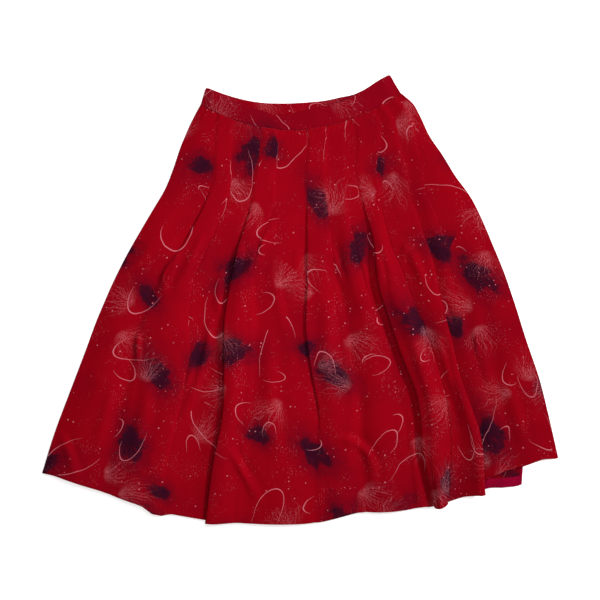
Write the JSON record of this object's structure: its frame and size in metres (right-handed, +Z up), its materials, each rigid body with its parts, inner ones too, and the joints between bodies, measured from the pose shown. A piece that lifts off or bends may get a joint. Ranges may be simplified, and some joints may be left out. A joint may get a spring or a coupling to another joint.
{
  "type": "pleated skirt",
  "caption": "Flared midi skirt lying flat, with box pleats stitched down to the hip and a straight waistband.",
  "frame": {"origin": "centre of the outline on the surface that the skirt lies on", "axes": "+X across the skirt, to the right as it is seen from above; +Y from the hem to the waist; +Z up from the surface, out of the front"},
  "size_m": [1.0054, 0.872, 0.0235],
  "materials": {
    "skirt_cloth": "matte red viscose crepe with a dark and pale all-over print",
    "band_cloth": "matte red viscose crepe, doubled and pressed flat"
  },
  "bodies": {
    "root": {"skirt_front": "skirt_cloth", "skirt_back": "skirt_cloth", "waistband_front": "band_cloth", "waistband_back": "band_cloth"}
  },
  "joints": []
}
